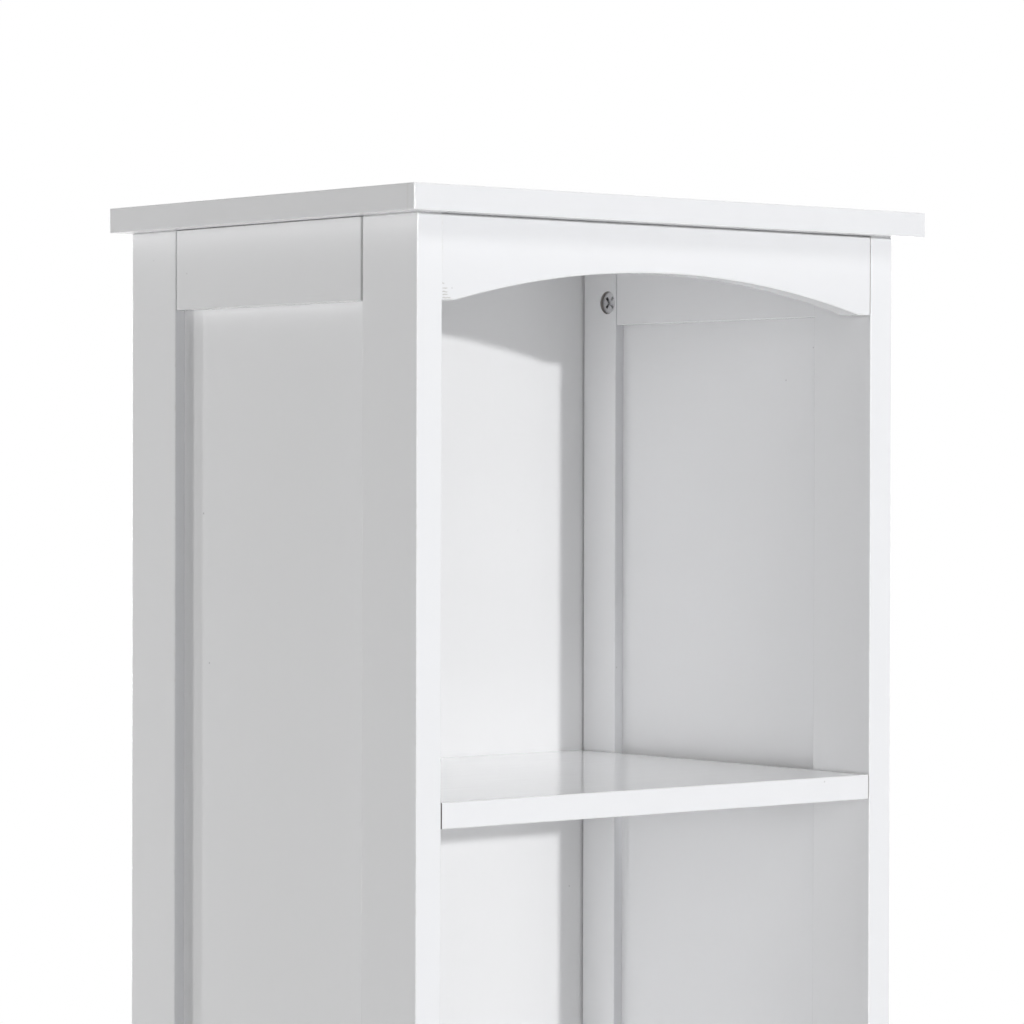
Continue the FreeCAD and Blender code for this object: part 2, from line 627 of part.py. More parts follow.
def make_hinge(place, level):
    """One butt hinge: a leaf on the case with the pin, and a leaf on the door between its knuckles."""
    knuckle = (HINGE_HEIGHT - 2 * HINGE_KNUCKLE_GAP) / 3
    second = knuckle + HINGE_KNUCKLE_GAP
    third = second + knuckle + HINGE_KNUCKLE_GAP
    bottom = level - HINGE_HEIGHT / 2
    case_leaf = place + "_hinge_frame_leaf"
    door_leaf = place + "_hinge_door_leaf"
    add(case_leaf, hinge_leaf(OPENING - HINGE_LEAF_THICKNESS, OPENING, level,
                              ((0.0, knuckle), (third, third + knuckle)), HINGE_PIN_DIAMETER))
    add(door_leaf, hinge_leaf(DOOR_HALF, DOOR_HALF + HINGE_LEAF_THICKNESS, level,
                              ((second, second + knuckle),), HINGE_PIN_DIAMETER + 2 * HINGE_PIN_PLAY))
    add(place + "_hinge_pin", turned(V(HINGE_X, HINGE_Y, bottom), Z_AXIS, (
        (0.0, HINGE_PIN_DIAMETER / 2),
        (HINGE_HEIGHT, HINGE_PIN_DIAMETER / 2),
        (HINGE_HEIGHT, HINGE_PIN_HEAD_DIAMETER / 2),
        (HINGE_HEIGHT + HINGE_PIN_HEAD_HEIGHT, HINGE_PIN_HEAD_DIAMETER / 2),
    )))
    small = (SMALL_SCREW_HEAD, SMALL_SCREW_SHANK, SMALL_SCREW_LENGTH)
    for rise in (-HINGE_SCREW_SPACING / 2, HINGE_SCREW_SPACING / 2):
        y, z = FRONT + HINGE_SCREW_DEPTH, level + rise
        case_seat = V(OPENING - HINGE_LEAF_THICKNESS, y, z)
        door_seat = V(DOOR_HALF + HINGE_LEAF_THICKNESS, y, z)
        countersunk_screw("hinge_frame_screws", case_seat, X_AXIS, *small, case_leaf, "right_front_stile")
        countersunk_screw("hinge_door_screws", door_seat, X_AXIS * -1, *small, door_leaf, "door_hinge_stile")


def make_catch():
    """A magnetic catch under the drawer divider, and its strike plate on the door."""
    small = (SMALL_SCREW_HEAD, SMALL_SCREW_SHANK, SMALL_SCREW_LENGTH)
    ceiling = DIVIDER_TOP - BOARD_THICKNESS
    middle = DOOR_FRAME_WIDTH - DOOR_HALF + CATCH_FROM_STILE + CATCH_WIDTH / 2
    strike_face = FRONT_BACK + STRIKE_THICKNESS
    magnet_front = strike_face + STRIKE_GAP
    front = magnet_front + MAGNET_PROUD
    floor = ceiling - CATCH_HEIGHT
    half = CATCH_WIDTH / 2
    add("catch_housing", board(middle - half, middle + half, front, front + CATCH_DEPTH, floor, ceiling))

    level = ceiling - CATCH_HEIGHT / 2
    wide, high = MAGNET_WIDTH / 2, MAGNET_HEIGHT / 2
    add("catch_magnet", box(middle - wide, middle + wide, magnet_front, magnet_front + MAGNET_DEPTH,
                            level - high, level + high))
    cut("catch_housing", box(middle - wide - GROOVE_PLAY, middle + wide + GROOVE_PLAY, magnet_front,
                             magnet_front + MAGNET_DEPTH + GROOVE_PLAY,
                             level - high - GROOVE_PLAY, level + high + GROOVE_PLAY))
    for offset in (CATCH_SCREW_INSET - half, half - CATCH_SCREW_INSET):
        seat = V(middle + offset, front + CATCH_DEPTH / 2, floor)
        countersunk_screw("catch_screws", seat, Z_AXIS, SMALL_SCREW_HEAD, SMALL_SCREW_SHANK,
                          CATCH_HEIGHT + SMALL_SCREW_LENGTH / 2, "catch_housing", "drawer_divider")

    half = STRIKE_WIDTH / 2
    low = level - STRIKE_HEIGHT / 2
    add("strike_plate", box(middle - half, middle + half, FRONT_BACK, strike_face,
                            low, low + STRIKE_HEIGHT))
    countersunk_screw("strike_screw", V(middle, strike_face, level), FORWARD, *small,
                      "strike_plate", "door_top_rail")


# Drawer with its runners


def make_drawer():
    """A slab front with a box behind it, whose sides are grooved for the runners."""
    add("drawer_front", board(-DOOR_HALF, DOOR_HALF, FRONT, FRONT_BACK, DRAWER_BOTTOM, DRAWER_TOP))
    panel_low = BOX_BOTTOM + BOX_BOTTOM_RISE
    groove_low, groove_high = panel_low - GROOVE_PLAY, BOX_PANEL_TOP + GROOVE_PLAY
    groove_half = BOX_INNER + BOX_GROOVE_DEPTH
    reach = BOX_GROOVE_DEPTH - GROOVE_PLAY
    slot_half = RUNNER_HEIGHT / 2 + RUNNER_PLAY
    slot_depth = RUNNER_THICKNESS - FRONT_GAP + RUNNER_SIDE_PLAY
    bottom_groove = box(-groove_half, groove_half, FRONT_BACK - BOX_GROOVE_DEPTH, BOX_REAR,
                        groove_low, groove_high)
    cut("drawer_front", bottom_groove)
    for side, sign in SIDES:
        name = "drawer_" + side + "_side"
        outer, inner = sign * BOX_OUTER, sign * BOX_INNER
        add(name, board(outer, inner, FRONT_BACK - BOX_DADO_DEPTH, BOX_REAR, BOX_BOTTOM, BOX_TOP))
        cut(name, bottom_groove)
        cut(name, box(outer, outer - sign * slot_depth, FRONT_BACK, BOX_REAR,
                      RUNNER_LEVEL - slot_half, RUNNER_LEVEL + slot_half))
        cut("drawer_front", box(outer + sign * GROOVE_PLAY, inner - sign * GROOVE_PLAY,
                                FRONT_BACK - BOX_DADO_DEPTH - GROOVE_PLAY, FRONT_BACK,
                                BOX_BOTTOM - GROOVE_PLAY, BOX_TOP + GROOVE_PLAY))

    back_front = BOX_REAR - BOX_SIDE_THICKNESS
    add("drawer_back", board(-BOX_INNER, BOX_INNER, back_front, BOX_REAR, BOX_PANEL_TOP, BOX_TOP))
    half = BOX_INNER + reach
    add("drawer_bottom", box(-half, half, FRONT_BACK - reach, BOX_REAR, panel_low, BOX_PANEL_TOP))

    wood = (WOOD_SCREW_HEAD, WOOD_SCREW_SHANK, BOX_SIDE_THICKNESS + WOOD_SCREW_LENGTH)
    y = BOX_REAR - BOX_SIDE_THICKNESS / 2
    for side, sign in SIDES:
        for z in (BOX_PANEL_TOP + BOX_SCREW_INSET, BOX_TOP - BOX_SCREW_INSET):
            countersunk_screw("drawer_screws", V(sign * BOX_OUTER, y, z), X_AXIS * -sign, *wood,
                              "drawer_" + side + "_side", "drawer_back")


def make_runner(side, sign):
    """A strip on the two stiles of one side, which the drawer's groove rides on."""
    name = side + "_runner"
    inner = sign * (OPENING - RUNNER_THICKNESS)
    half = RUNNER_HEIGHT / 2
    add(name, board(sign * OPENING, inner, FRONT_BACK + RUNNER_FRONT_GAP, BACK_FACE - RUNNER_REAR_GAP,
                    RUNNER_LEVEL - half, RUNNER_LEVEL + half))
    for place, y in stile_rows(side, BOLT_FROM_INNER_EDGE):
        countersunk_screw("runner_screws", V(inner, y, RUNNER_LEVEL), X_AXIS * sign, WOOD_SCREW_HEAD,
                          WOOD_SCREW_SHANK, WOOD_SCREW_LENGTH, name, side + "_" + place + "_stile")


# Knobs


def make_knob(owner, held, x, z):
    """A round knob on a front, and the screw that holds it from behind."""
    neck_end = KNOB_BASE_THICKNESS + KNOB_NECK_LENGTH
    rim_start = neck_end + KNOB_UNDERSIDE_RISE
    rim_end = rim_start + KNOB_RIM_THICKNESS
    head, neck, base = KNOB_DIAMETER / 2, KNOB_NECK_DIAMETER / 2, KNOB_BASE_DIAMETER / 2
    crown = KNOB_PROJECTION - rim_end
    sphere = (head * head + crown * crown) / (2 * crown)
    turn = math.asin(head / sphere) / 2
    shoulder = V(sphere * math.sin(turn), 0, KNOB_PROJECTION - sphere * (1 - math.cos(turn)))
    corners = [V(head, 0, rim_end), V(head, 0, rim_start), V(neck, 0, neck_end),
               V(neck, 0, KNOB_BASE_THICKNESS), V(base, 0, KNOB_BASE_THICKNESS), V(base, 0, 0),
               V(0, 0, 0), V(0, 0, KNOB_PROJECTION)]
    edges = [Part.makeLine(a, b) for a, b in zip(corners, corners[1:])]
    edges.append(Part.Arc(corners[-1], shoulder, corners[0]).toShape())
    solid = Part.Face(Part.Wire(edges)).revolve(V(0, 0, 0), Z_AXIS, 360)
    rims = [edge for edge in solid.Edges if abs(edge.BoundBox.XLength - KNOB_DIAMETER) < KNOB_EASE]
    solid = solid.makeFillet(KNOB_EASE, rims)
    solid.Placement = FreeCAD.Placement(V(x, FRONT, z), FreeCAD.Rotation(Z_AXIS, FORWARD))
    add(owner + "_knob", solid)

    seat = V(x, FRONT_BACK, z)
    reach = FRONT_THICKNESS + KNOB_SCREW_IN_KNOB
    screw = turned(seat, FORWARD, (
        (-KNOB_SCREW_HEAD_HEIGHT, KNOB_SCREW_HEAD_DIAMETER / 2 - KNOB_EASE),
        (KNOB_EASE - KNOB_SCREW_HEAD_HEIGHT, KNOB_SCREW_HEAD_DIAMETER / 2),
        (0.0, KNOB_SCREW_HEAD_DIAMETER / 2),
        (0.0, KNOB_SCREW_DIAMETER / 2),
        (reach, KNOB_SCREW_DIAMETER / 2),
    ))
    crown_of_head = seat + Y_AXIS * KNOB_SCREW_HEAD_HEIGHT
    slot = cross_slot(crown_of_head, Y_AXIS, KNOB_SCREW_HEAD_DIAMETER * SCREW_CROSS_SHARE,
                      SCREW_CROSS_WIDTH, SCREW_CROSS_DEPTH)
    add(owner + "_knob_screw", screw.cut(slot))
    hole = rod(seat, FORWARD, KNOB_SCREW_DIAMETER + 2 * FASTENER_PLAY, reach + HOLE_END_PLAY)
    cut(held, hole)
    cut(owner + "_knob", hole)


# Assembly


def make_all():
    """Build every piece in its place."""
    make_top()
    for side, sign in SIDES:
        make_side(side, sign)
        make_runner(side, sign)
    make_back_panel()
    for name, top in BOARD_TOPS.items():
        make_fixed_board(name, top)
    make_arched_rail("valance", CASE_TOP - HEAD_GAP, VALANCE_HEIGHT, VALANCE_LEFT_GAP)
    make_arched_rail("base_apron", APRON_TOP, APRON_HEIGHT, END_GAP)
    make_feet()
    make_adjustable_shelf()
    make_door()
    for place, level in HINGE_LEVELS:
        make_hinge(place, level)
    make_catch()
    make_knob("door", "door_latch_stile", DOOR_FRAME_WIDTH / 2 - DOOR_HALF, DOOR_TOP - KNOB_FROM_DOOR_TOP)
    make_drawer()
    make_knob("drawer", "drawer_front", 0.0, (DRAWER_BOTTOM + DRAWER_TOP) / 2)


def finished(name):
    """A node's solids with all its holes and grooves cut."""
    solids = []
    for solid in nodes[name]:
        if name in cutters:
            solid = solid.cut(cutters[name])
        solids.extend(solid.Solids)
    return solids


make_all()
os.makedirs("parts", exist_ok=True)
for node_name in nodes:
    node_solids = finished(node_name)
    shape = node_solids[0] if len(node_solids) == 1 else Part.makeCompound(node_solids)
    shape.exportStep("parts/" + node_name + ".step")
    print(node_name, len(node_solids), len(nodes[node_name]), round(shape.Volume), shape.isValid())
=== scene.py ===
import math

import bpy
from mathutils import Matrix, Vector


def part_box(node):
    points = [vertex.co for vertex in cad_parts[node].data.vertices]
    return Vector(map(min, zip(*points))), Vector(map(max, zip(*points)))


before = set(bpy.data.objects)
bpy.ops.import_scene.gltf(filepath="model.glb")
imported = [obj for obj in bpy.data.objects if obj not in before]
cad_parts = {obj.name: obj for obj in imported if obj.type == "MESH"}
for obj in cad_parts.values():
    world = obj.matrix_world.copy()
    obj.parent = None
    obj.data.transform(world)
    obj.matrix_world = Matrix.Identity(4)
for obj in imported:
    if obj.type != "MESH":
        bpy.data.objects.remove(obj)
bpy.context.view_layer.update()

# Looks of the linen tower: a white lacquered case with its zinc, steel and nickel fittings.
# Every visible shape is a CAD node. This script sets the nodes' finish, the light and the camera.
# Lengths are in metres, angles in degrees, powers in watts, colours in linear light.

# Camera, fitted to the edges of the case in the photograph, and placed from the case's corner
SENSOR_WIDTH = 0.036
LENS = 0.1395
CAMERA_FROM_CORNER = Vector((-1.36613, -1.73540, -0.14327))
CAMERA_YAW = 39.588
CAMERA_PITCH = -0.615
CAMERA_ROLL = 0.134
MILLIMETRES = 1000.0

# Key lamp: small, almost straight in front, a little above the top
KEY_DISTANCE = 5.3
KEY_TURN = 6.0
KEY_RISE = 0.437
KEY_DIAMETER = 0.118
KEY_POWER = 131.0

# Rim lamp: a tall strip behind and to the left that grazes the left side
RIM_DISTANCE = 4.2
RIM_TURN = 70.4
RIM_WIDTH = 0.16
RIM_HEIGHT = 1.6
RIM_LEVEL = 1.40
RIM_POWER = 40.0

# Soft boxes round the object: name, place, width and height, power, and if reflections show the box
SOFT_BOXES_AIM = Vector((0.0, 0.0, 1.35))
SOFT_BOXES = (
    ("back_left_box", (-2.6, 3.2, 1.4), (2.4, 2.4), 15.3, True),
    ("front_left_box", (-3.0, -3.2, 1.6), (3.0, 3.0), 29.5, True),
    ("high_front_box", (-0.075, -2.9, 4.2), (0.35, 1.2), 41.0, True),
    ("mid_front_box", (-0.075, -3.4, 3.3), (0.35, 1.0), 8.0, True),
    ("side_front_box", (-4.0, -1.9, 1.6), (1.4, 1.4), 10.0, True),
    ("low_front_box", (0.5, -3.0, 0.3), (0.8, 0.8), 8.6, True),
    ("right_box", (3.4, 1.6, 1.6), (3.0, 3.0), 26.0, True),
    ("back_right_box", (0.9, 3.9, 1.7), (3.2, 3.2), 30.0, False),
    ("top_box", (0.0, 0.35, 2.7), (0.35, 0.9), 4.4, False),
)

# Bounce box: lies on the floor round the object and lights its undersides
BOUNCE_LEVEL = 0.02
BOUNCE_DIAMETER = 4.0
BOUNCE_POWER = 1.0

# Surroundings: a faint even light, a white background, and a floor that fades into it
WORLD_COLOUR = (0.985, 0.995, 1.0, 1.0)
WORLD_STRENGTH = 0.015
BACKGROUND_COLOUR = (1.0, 1.0, 1.0, 1.0)
BACKGROUND_STRENGTH = 1.0
FLOOR_RADIUS = 30.0
FLOOR_SIDES = 96
FLOOR_COLOUR = (0.86, 0.86, 0.86, 1.0)
FLOOR_SHADE = (0.82, 0.82, 0.82, 1.0)
FLOOR_MOTTLE_SIZE = 0.35
FLOOR_ROUGH_LOW = 0.7
FLOOR_ROUGH_HIGH = 0.85
FLOOR_FADE_START = 0.4
FLOOR_FADE_END = 3.2
FLOOR_NEAR_WHITE = 0.35

# Range that holds nearly all values of one noise, and of two added up
NOISE_LOW = 0.3
NOISE_HIGH = 0.7
TWO_NOISES_LOW = 0.7
TWO_NOISES_HIGH = 1.3

# Edges: cosine between the true and the softened normal where an edge starts and where it is full
EDGE_NONE = 0.995
EDGE_FULL = 0.90
EDGE_SAMPLES = 4

# White lacquer: colour with faint clouds and streaks, gloss, and a fine orange peel
PAINT_COLOUR = (0.964, 0.966, 0.974, 1.0)
PAINT_SHADE = (0.957, 0.959, 0.968, 1.0)
PAINT_IOR = 1.5
PAINT_CLOUD_SIZE = 0.22
PAINT_CLOUD_SHARE = 0.5
PAINT_STREAK_SIZE = 0.0011
PAINT_STREAK_RATIO = 60.0
PAINT_STREAK_SHARE = 0.5
PAINT_STREAK_HEIGHT = 0.0000004
PAINT_PEEL_SIZE = 0.0022
PAINT_PEEL_HEIGHT = 0.000004
PAINT_ROUGH_LOW = 0.06
PAINT_ROUGH_HIGH = 0.11

# Painted shade: a greyer colour that darkens the faces which look to the front or the back, from none
# to all of it by how far they look there, and the pieces without it
FRONT_BACK_PAINTED_SHADE = (0.798, 0.803, 0.815, 1.0)
FRONT_BACK_SHADE_NONE = 0.60
FRONT_BACK_SHADE_FULL = 0.95
WITHOUT_FRONT_BACK_SHADE = ("back_panel",)

# Boards whose white is darkened a little, as painted shade that evens out how brightly the lamps light
# them: piece and brightness
PAINTED_SHADE_TONES = {
    "top_panel": 0.96,
    "left_front_stile": 0.98,
    "left_top_rail": 0.965,
    "right_front_stile": 0.99,
    "upper_shelf": 0.985,
    "valance": 0.96,
    "back_panel": 0.868,
}

# Wear in spots along the edges of the paint
WEAR_COLOUR = (0.700, 0.690, 0.665, 1.0)
WEAR_RADIUS = 0.0014
WEAR_SPOT_SIZE = 0.006
WEAR_SPOT_NONE = 0.56
WEAR_SPOT_FULL = 0.66
WEAR_SHARE = 0.5

# Specks of dust in the paint
DUST_COLOUR = (0.46, 0.46, 0.47, 1.0)
DUST_SPACING = 0.036
DUST_RADIUS = 0.0008
DUST_CORE = 0.4
DUST_SHARE = 0.6

# Marks in the paint of single boards are matt: their roughness, and the share that is fully matt
MARK_ROUGH = 0.75
MARK_FULL = 0.6

# Scuffs at the lower left corner of the valance: height above its lower edge, and length
SCUFFS = ((0.0012, 0.0066), (0.0029, 0.0044), (0.0044, 0.0044), (0.0063, 0.0040), (0.0093, 0.0022))
SCUFF_COLOUR = (0.40, 0.39, 0.37, 1.0)
SCUFF_HALF_WIDTH = 0.0005
SCUFF_FADE = 0.0014
SCUFF_WANDER = 0.0006
SCUFF_WANDER_SIZE = 0.0016
SCUFF_SHARE = 0.9

# Joint of the lipping along the front of the top, which shows as a hairline
LIPPING_COLOUR = (0.56, 0.55, 0.53, 1.0)
LIPPING_WIDTH = 0.0059
LIPPING_HALF_LINE = 0.0009
LIPPING_SHARE = 0.32

# Painted shade in the joints between a side rail and its stiles, where a gap would be dark
JOINT_SHADE_COLOUR = (0.40, 0.40, 0.40, 1.0)
JOINT_WIDTH = 0.0022
JOINT_FULL = 0.0012
JOINT_SHADE_SHARE = 0.65

# Bare board on cut ends, dark enough to also paint the shade in the gaps at the joints: how far a face
# looks sideways for none and all of it
BARE_BOARD_AND_SHADE = (0.30, 0.28, 0.26, 1.0)
BARE_END_NONE = 0.95
BARE_END_FULL = 0.99

# Bore of the cam lock near each stile's top: its place from the stile's edges, and its bare wall, dark
# also as painted shade in the bore
BORE_FROM_INNER_EDGE = 0.008
BORE_FROM_TOP = 0.033
BORE_RADIUS = 0.0076
BORE_SOFTNESS = 0.0001
BORE_PAINTED_LIP = 0.0002
BORE_DEPTH = 0.0136

# Metals by slot, and what they share: blotches, painted shade in recesses, rubbed edges
METALS = {
    "zinc": {
        "name": "die_cast_zinc",
        "light": (0.90, 0.90, 0.91, 1.0),
        "dark": (0.72, 0.72, 0.73, 1.0),
        "rough_low": 0.34,
        "rough_high": 0.52,
        "grain_size": 0.0006,
        "grain_height": 0.00002,
    },
    "steel": {
        "name": "zinc_plated_steel",
        "light": (0.62, 0.61, 0.60, 1.0),
        "dark": (0.44, 0.44, 0.45, 1.0),
        "rough_low": 0.28,
        "rough_high": 0.42,
        "grain_size": 0.0005,
        "grain_height": 0.00001,
    },
    "nickel": {
        "name": "brushed_nickel",
        "light": (0.70, 0.67, 0.62, 1.0),
        "dark": (0.56, 0.54, 0.50, 1.0),
        "rough_low": 0.20,
        "rough_high": 0.34,
        "grain_size": 0.0003,
        "grain_height": 0.000004,
        "brushed": "x",
    },
}
METAL_BRUSH_RATIO = 40.0
METAL_BLOTCH_SIZE = 0.004
METAL_RECESS_SHADE = (0.05, 0.05, 0.05, 1.0)
METAL_RECESS_REACH = 0.002
METAL_RECESS_SAMPLES = 4
METAL_RECESS_SHADE_FULL = 0.35
METAL_RECESS_SHADE_NONE = 0.80
METAL_RUBBED = (0.9, 0.9, 0.9, 1.0)
METAL_EDGE_RADIUS = 0.0006
METAL_RUBBED_SHARE = 0.4

# Compressed beech of the dowels
BEECH_GRAIN = "x"
BEECH_LIGHT = (0.68, 0.51, 0.33, 1.0)
BEECH_DARK = (0.50, 0.34, 0.20, 1.0)
BEECH_STREAK_SIZE = 0.0015
BEECH_STREAK_RATIO = 12.0
BEECH_STREAK_HEIGHT = 0.00005
BEECH_FLECK = (0.36, 0.22, 0.12, 1.0)
BEECH_FLECK_SIZE = 0.0012
BEECH_FLECK_RATIO = 6.0
BEECH_FLECK_NONE = 0.25
BEECH_FLECK_FULL = 0.10
BEECH_FLECK_SHARE = 0.6
BEECH_ROUGH_LOW = 0.55
BEECH_ROUGH_HIGH = 0.75

# White moulded plastic of the glides and the catch
PLASTIC_LIGHT = (0.83, 0.825, 0.80, 1.0)
PLASTIC_DARK = (0.76, 0.75, 0.72, 1.0)
PLASTIC_TINT_SIZE = 0.008
PLASTIC_TEXTURE_SIZE = 0.0004
PLASTIC_TEXTURE_HEIGHT = 0.00002
PLASTIC_RUBBED = (0.66, 0.64, 0.60, 1.0)
PLASTIC_EDGE_RADIUS = 0.0008
PLASTIC_RUBBED_SHARE = 0.35
PLASTIC_ROUGH_LOW = 0.36
PLASTIC_ROUGH_HIGH = 0.5

# Ferrite of the catch's magnet
FERRITE_LIGHT = (0.085, 0.083, 0.082, 1.0)
FERRITE_DARK = (0.035, 0.034, 0.034, 1.0)
FERRITE_GRIT_SIZE = 0.0005
FERRITE_GRIT_HEIGHT = 0.00006
FERRITE_RUBBED = (0.20, 0.20, 0.20, 1.0)
FERRITE_EDGE_RADIUS = 0.0008
FERRITE_RUBBED_SHARE = 0.6
FERRITE_ROUGH_LOW = 0.5
FERRITE_ROUGH_HIGH = 0.7

# Which way the grain of each painted piece runs, by the end or the whole of its name
GRAIN_BY_NAME = (
    ("stile", "z"),
    ("side_panel", "z"),
    ("back_panel", "z"),
    ("door_panel", "z"),
    ("drawer_left_side", "y"),
    ("drawer_right_side", "y"),
    ("runner", "y"),
    ("left_top_rail", "y"),
    ("left_bottom_rail", "y"),
    ("right_top_rail", "y"),
    ("right_bottom_rail", "y"),
)
GRAIN_OTHERWISE = "x"

# Indices of a colour mix node's sockets
MIX_FIRST = 6
MIX_SECOND = 7
MIX_RESULT = 2

AXES = {"x": 0, "y": 1, "z": 2}


class Graph:
    """A material with its node tree, and short ways to add to it."""

    def __init__(self, name):
        self.material = bpy.data.materials.new(name)
        self.material.use_nodes = True
        self.tree = self.material.node_tree
        self.shader = self.tree.nodes["Principled BSDF"]
        coordinates = self.add("ShaderNodeTexCoord")
        self.place = coordinates.outputs["Object"]
        self.facing = coordinates.outputs["Normal"]

    def connect(self, socket, value):
        """Links an output to a socket, or writes a constant on it."""
        if isinstance(value, bpy.types.NodeSocket):
            self.tree.links.new(value, socket)
        else:
            socket.default_value = value

    def add(self, kind, inputs=None, **settings):
        """Adds a node with its settings and what goes into it."""
        node = self.tree.nodes.new(kind)
        for key, value in settings.items():
            setattr(node, key, value)
        for key, value in (inputs or {}).items():
            self.connect(node.inputs[key], value)
        return node

    def surface(self, **sockets):
        """Sets the shader's own sockets, with underscores for the spaces in their names."""
        for key, value in sockets.items():
            self.connect(self.shader.inputs[key.replace("_", " ")], value)

    def part(self, axis):
        """One coordinate of the place on the piece."""
        return self.add("ShaderNodeSeparateXYZ", {0: self.place}).outputs[AXES[axis]]

    def looking(self, axis):
        """How far the surface looks along one axis, from -1 to 1."""
        return self.add("ShaderNodeSeparateXYZ", {0: self.facing}).outputs[AXES[axis]]

    def stretched(self, axis, ratio):
        """Coordinates that run slowly along one axis, for streaks along it."""
        factors = [1.0, 1.0, 1.0]
        factors[AXES[axis]] = 1.0 / ratio
        node = self.add("ShaderNodeVectorMath", {0: self.place, 1: factors}, operation="MULTIPLY")
        return node.outputs[0]

    def noise(self, place, size, detail=2.0, roughness=0.5):
        """Noise with features of the given size."""
        inputs = {"Vector": place, "Scale": 1.0 / size, "Detail": detail, "Roughness": roughness}
        return self.add("ShaderNodeTexNoise", inputs).outputs["Fac"]

    def cells(self, place, size):
        """Distance to the nearest of scattered points, in parts of their spacing."""
        inputs = {"Vector": place, "Scale": 1.0 / size}
        return self.add("ShaderNodeTexVoronoi", inputs).outputs["Distance"]

    def remap(self, value, low, high, new_low=0.0, new_high=1.0):
        """A value carried from one range to another, and held at its ends."""
        inputs = {
            "Value": value,
            "From Min": low,
            "From Max": high,
            "To Min": new_low,
            "To Max": new_high,
        }
        return self.add("ShaderNodeMapRange", inputs).outputs["Result"]

    def level(self, noise, low=0.0, high=1.0):
        """A noise carried to another range."""
        return self.remap(noise, NOISE_LOW, NOISE_HIGH, low, high)

    def math(self, operation, first, second=0.0):
        """One sum, product or other operation on two values."""
        return self.add("ShaderNodeMath", {0: first, 1: second}, operation=operation).outputs[0]

    def blend(self, share, first, second, way="MIX"):
        """A share of the second colour over the first one."""
        inputs = {0: share, MIX_FIRST: first, MIX_SECOND: second}
        node = self.add("ShaderNodeMix", inputs, data_type="RGBA", blend_type=way)
        return node.outputs[MIX_RESULT]

    def edges(self, radius):
        """1 on edges and corners that are rounder than the flats beside them, 0 on the flats."""
        true = self.add("ShaderNodeNewGeometry")
        soft = self.add("ShaderNodeBevel", {"Radius": radius}, samples=EDGE_SAMPLES)
        inputs = {0: true.outputs["Normal"], 1: soft.outputs["Normal"]}
        agreement = self.add("ShaderNodeVectorMath", inputs, operation="DOT_PRODUCT")
        return self.remap(agreement.outputs["Value"], EDGE_NONE, EDGE_FULL)

    def rubbed(self, colour, radius, share, rubbed_colour):
        """A colour that is partly rubbed to another one along the edges."""
        return self.blend(self.math("MULTIPLY", self.edges(radius), share), colour, rubbed_colour)

    def bump(self, height, distance, normal=None):
        """A normal bent by a height, on top of another bump where one is given."""
        inputs = {"Height": height, "Distance": distance}
        if normal is not None:
            inputs["Normal"] = normal
        return self.add("ShaderNodeBump", inputs).outputs["Normal"]


def shade(colour, tone):
    """A colour with its brightness changed and its opacity kept."""
    return tuple(part * tone for part in colour[:3]) + (1.0,)


def scuffs(g, name):
    """Share of scuffed paint at the lower left corner of the valance's front."""
    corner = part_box(name)[0]
    wander = g.level(g.noise(g.place, SCUFF_WANDER_SIZE), -SCUFF_WANDER / 2, SCUFF_WANDER / 2)
    height = g.math("ADD", g.part("z"), wander)
    along = g.math("ADD", g.part("x"), wander)
    total = None
    for rise, length in SCUFFS:
        off = g.math("ABSOLUTE", g.math("SUBTRACT", height, corner.z + rise))
        end = corner.x + length
        line = g.remap(off, SCUFF_HALF_WIDTH, 0.0)
        line = g.math("MULTIPLY", line, g.remap(along, end, end - SCUFF_FADE))
        total = line if total is None else g.math("MAXIMUM", total, line)
    front = g.remap(g.part("y"), corner.y + SCUFF_FADE, corner.y)
    return g.math("MULTIPLY", g.math("MULTIPLY", total, front), SCUFF_SHARE)


def lipping_line(g, name):
    """Share of the hairline where the lipping is glued to the front of the top."""
    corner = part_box(name)[0]
    off = g.math("ABSOLUTE", g.math("SUBTRACT", g.part("y"), corner.y + LIPPING_WIDTH))
    return g.remap(off, LIPPING_HALF_LINE, 0.0, 0.0, LIPPING_SHARE)


def painted_joint_shade(g, name):
    """Share of painted shade in the joints of a side rail, on its outer face."""
    side = name.split("_")[0]
    low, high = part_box(side + "_front_stile")
    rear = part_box(side + "_rear_stile")[0].y
    along = g.part("y")
    at_front = g.remap(along, high.y + JOINT_WIDTH, high.y + JOINT_FULL, 0.0, JOINT_SHADE_SHARE)
    at_rear = g.remap(along, rear - JOINT_WIDTH, rear - JOINT_FULL, 0.0, JOINT_SHADE_SHARE)
    middle = abs(low.x + high.x) / 2.0
    outside = g.remap(g.math("ABSOLUTE", g.part("x")), middle, middle + JOINT_WIDTH)
    return g.math("MULTIPLY", g.math("MAXIMUM", at_front, at_rear), outside)


def bare_ends_and_gap_shade(g, name):
    """Share of bare board on the cut ends of a board inside their joints, dark enough to also paint the
    shade in the gaps.
    """
    return g.remap(g.math("ABSOLUTE", g.looking("x")), BARE_END_NONE, BARE_END_FULL)


def bare_right_end_and_gap_shade(g, name):
    """The same for a board whose left joint is closed and painted over."""
    return g.remap(g.looking("x"), BARE_END_NONE, BARE_END_FULL)


